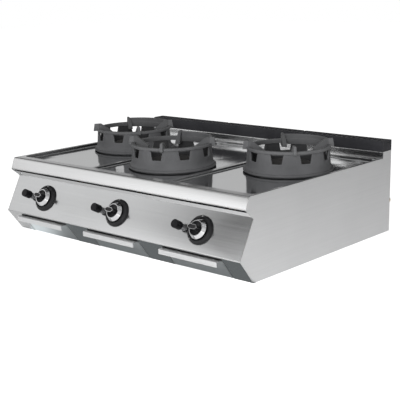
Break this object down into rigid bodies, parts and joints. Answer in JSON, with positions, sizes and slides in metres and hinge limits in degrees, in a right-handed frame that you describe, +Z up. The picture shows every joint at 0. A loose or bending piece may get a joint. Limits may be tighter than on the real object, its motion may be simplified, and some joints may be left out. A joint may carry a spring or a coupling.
{
  "type": "wok range",
  "caption": "Countertop gas wok range: stainless casing with recessed wells, cast wok stands over the burners, sloping front with knobs and igniter buttons, drip trays and rear flue grilles.",
  "frame": {"origin": "middle of the bounding box's underside, on the plane that the base stands on", "axes": "+X to the right as seen from the front, +Y to the rear, +Z up"},
  "size_m": [1.2, 0.944, 0.389],
  "materials": {
    "casing_steel": "brushed stainless sheet",
    "worktop_steel": "satin stainless sheet",
    "well_steel": "polished stainless pressing",
    "front_steel": "brushed stainless sheet",
    "tray_steel": "brushed stainless sheet",
    "galvanised": "dull zinc-coated sheet",
    "fastener_steel": "plated",
    "stand_iron": "matte cast, enamelled dark grey",
    "stand_top_iron": "matte cast, enamelled dark grey",
    "grille_iron": "matte cast, enamelled black",
    "burner_iron": "raw cast, blackened",
    "pipe_steel": "dark lacquered pipe",
    "fitting_brass": "turned",
    "aluminium_tube": "bare drawn tube",
    "copper_tube": "bare copper",
    "pilot_metal": "stamped and turned",
    "electrode_ceramic": "glazed ceramic",
    "lead_sleeve": "silicone sleeve",
    "spring_steel": "spring wire",
    "stem_steel": "ground bar",
    "igniter_metal": "turned, dull plated",
    "bezel_plastic": "moulded, satin",
    "knob_plastic": "moulded, satin",
    "knob_chrome": "plated",
    "button_plastic": "moulded"
  },
  "bodies": {
    "range": {"side_panel_left": "casing_steel", "side_panel_right": "casing_steel", "rear_panel": "galvanised", "worktop_frame": "worktop_steel", "front_panel": "front_steel", "flue_duct": "galvanised", "chassis_rails": "galvanised", "foot_bushes": "fastener_steel", "tray_runners": "galvanised", "rear_screws": "fastener_steel", "gas_manifold": "pipe_steel", "gas_inlet_pipe": "pipe_steel", "gas_inlet_nipple": "fitting_brass", "return_springs": "spring_steel", "burner_bowls": "burner_iron", "burner_brackets": "galvanised", "injectors": "fitting_brass", "supply_pipes": "aluminium_tube", "pilot_burners": "pilot_metal", "pilot_tubes": "copper_tube", "spark_electrodes": "electrode_ceramic", "ignition_leads": "lead_sleeve", "thermocouples": "copper_tube", "valve_bodies": "fitting_brass", "igniter_bodies": "igniter_metal", "knob_bezels": "bezel_plastic", "well_pan_left": "well_steel", "well_pan_middle": "well_steel", "well_pan_right": "well_steel"},
    "valve_plug_left": {"valve_plug_left": "fitting_brass"},
    "knob_left": {"valve_stem_left": "stem_steel", "knob_grip_left": "knob_plastic", "knob_trim_left": "knob_chrome"},
    "button_left": {"button_cap_left": "button_plastic"},
    "tray_left": {"drip_tray_left": "tray_steel"},
    "stand_base_left": {"stand_base_left": "stand_iron"},
    "stand_top_left": {"stand_top_left": "stand_top_iron"},
    "burner_cap_left": {"burner_cap_left": "burner_iron"},
    "flue_grille_left": {"flue_grille_left": "grille_iron"},
    "valve_plug_middle": {"valve_plug_middle": "fitting_brass"},
    "knob_middle": {"valve_stem_middle": "stem_steel", "knob_grip_middle": "knob_plastic", "knob_trim_middle": "knob_chrome"},
    "button_middle": {"button_cap_middle": "button_plastic"},
    "tray_middle": {"drip_tray_middle": "tray_steel"},
    "stand_base_middle": {"stand_base_middle": "stand_iron"},
    "stand_top_middle": {"stand_top_middle": "stand_top_iron"},
    "burner_cap_middle": {"burner_cap_middle": "burner_iron"},
    "flue_grille_middle": {"flue_grille_middle": "grille_iron"},
    "valve_plug_right": {"valve_plug_right": "fitting_brass"},
    "knob_right": {"valve_stem_right": "stem_steel", "knob_grip_right": "knob_plastic", "knob_trim_right": "knob_chrome"},
    "button_right": {"button_cap_right": "button_plastic"},
    "tray_right": {"drip_tray_right": "tray_steel"},
    "stand_base_right": {"stand_base_right": "stand_iron"},
    "stand_top_right": {"stand_top_right": "stand_top_iron"},
    "burner_cap_right": {"burner_cap_right": "burner_iron"},
    "flue_grille_right": {"flue_grille_right": "grille_iron"}
  },
  "joints": [
    {"name": "knob_turn_left", "type": "hinge", "parent": "range", "child": "valve_plug_left", "pos_m": [-0.4, -0.41839, 0.15247], "axis": [0, -0.8789, 0.4769], "range_deg": [0, 145]},
    {"name": "knob_push_left", "type": "slide", "parent": "valve_plug_left", "child": "knob_left", "axis": [0, 0.8789, -0.4769], "range_m": [0, 0.006], "stiffness_N_per_m": 1500, "springref_m": -0.004},
    {"name": "button_push_left", "type": "slide", "parent": "range", "child": "button_left", "axis": [0, 0.8789, -0.4769], "range_m": [0, 0.008], "stiffness_N_per_m": 600, "springref_m": -0.004},
    {"name": "tray_slide_left", "type": "slide", "parent": "range", "child": "tray_left", "axis": [0, -1, 0], "range_m": [0, 0.45]},
    {"name": "stand_base_lift_left", "type": "slide", "parent": "range", "child": "stand_base_left", "axis": [0, 0, 1], "range_m": [0, 0.12]},
    {"name": "stand_top_lift_left", "type": "slide", "parent": "stand_base_left", "child": "stand_top_left", "axis": [0, 0, 1], "range_m": [0, 0.08]},
    {"name": "burner_cap_lift_left", "type": "slide", "parent": "range", "child": "burner_cap_left", "axis": [0, 0, 1], "range_m": [0, 0.1]},
    {"name": "flue_grille_lift_left", "type": "slide", "parent": "range", "child": "flue_grille_left", "axis": [0, 0, 1], "range_m": [0, 0.08]},
    {"name": "knob_turn_middle", "type": "hinge", "parent": "range", "child": "valve_plug_middle", "pos_m": [0, -0.41839, 0.15247], "axis": [0, -0.8789, 0.4769], "range_deg": [0, 145]},
    {"name": "knob_push_middle", "type": "slide", "parent": "valve_plug_middle", "child": "knob_middle", "axis": [0, 0.8789, -0.4769], "range_m": [0, 0.006], "stiffness_N_per_m": 1500, "springref_m": -0.004},
    {"name": "button_push_middle", "type": "slide", "parent": "range", "child": "button_middle", "axis": [0, 0.8789, -0.4769], "range_m": [0, 0.008], "stiffness_N_per_m": 600, "springref_m": -0.004},
    {"name": "tray_slide_middle", "type": "slide", "parent": "range", "child": "tray_middle", "axis": [0, -1, 0], "range_m": [0, 0.45]},
    {"name": "stand_base_lift_middle", "type": "slide", "parent": "range", "child": "stand_base_middle", "axis": [0, 0, 1], "range_m": [0, 0.12]},
    {"name": "stand_top_lift_middle", "type": "slide", "parent": "stand_base_middle", "child": "stand_top_middle", "axis": [0, 0, 1], "range_m": [0, 0.08]},
    {"name": "burner_cap_lift_middle", "type": "slide", "parent": "range", "child": "burner_cap_middle", "axis": [0, 0, 1], "range_m": [0, 0.1]},
    {"name": "flue_grille_lift_middle", "type": "slide", "parent": "range", "child": "flue_grille_middle", "axis": [0, 0, 1], "range_m": [0, 0.08]},
    {"name": "knob_turn_right", "type": "hinge", "parent": "range", "child": "valve_plug_right", "pos_m": [0.4, -0.41839, 0.15247], "axis": [0, -0.8789, 0.4769], "range_deg": [0, 145]},
    {"name": "knob_push_right", "type": "slide", "parent": "valve_plug_right", "child": "knob_right", "axis": [0, 0.8789, -0.4769], "range_m": [0, 0.006], "stiffness_N_per_m": 1500, "springref_m": -0.004},
    {"name": "button_push_right", "type": "slide", "parent": "range", "child": "button_right", "axis": [0, 0.8789, -0.4769], "range_m": [0, 0.008], "stiffness_N_per_m": 600, "springref_m": -0.004},
    {"name": "tray_slide_right", "type": "slide", "parent": "range", "child": "tray_right", "axis": [0, -1, 0], "range_m": [0, 0.45]},
    {"name": "stand_base_lift_right", "type": "slide", "parent": "range", "child": "stand_base_right", "axis": [0, 0, 1], "range_m": [0, 0.12]},
    {"name": "stand_top_lift_right", "type": "slide", "parent": "stand_base_right", "child": "stand_top_right", "axis": [0, 0, 1], "range_m": [0, 0.08]},
    {"name": "burner_cap_lift_right", "type": "slide", "parent": "range", "child": "burner_cap_right", "axis": [0, 0, 1], "range_m": [0, 0.1]},
    {"name": "flue_grille_lift_right", "type": "slide", "parent": "range", "child": "flue_grille_right", "axis": [0, 0, 1], "range_m": [0, 0.08]}
  ]
}
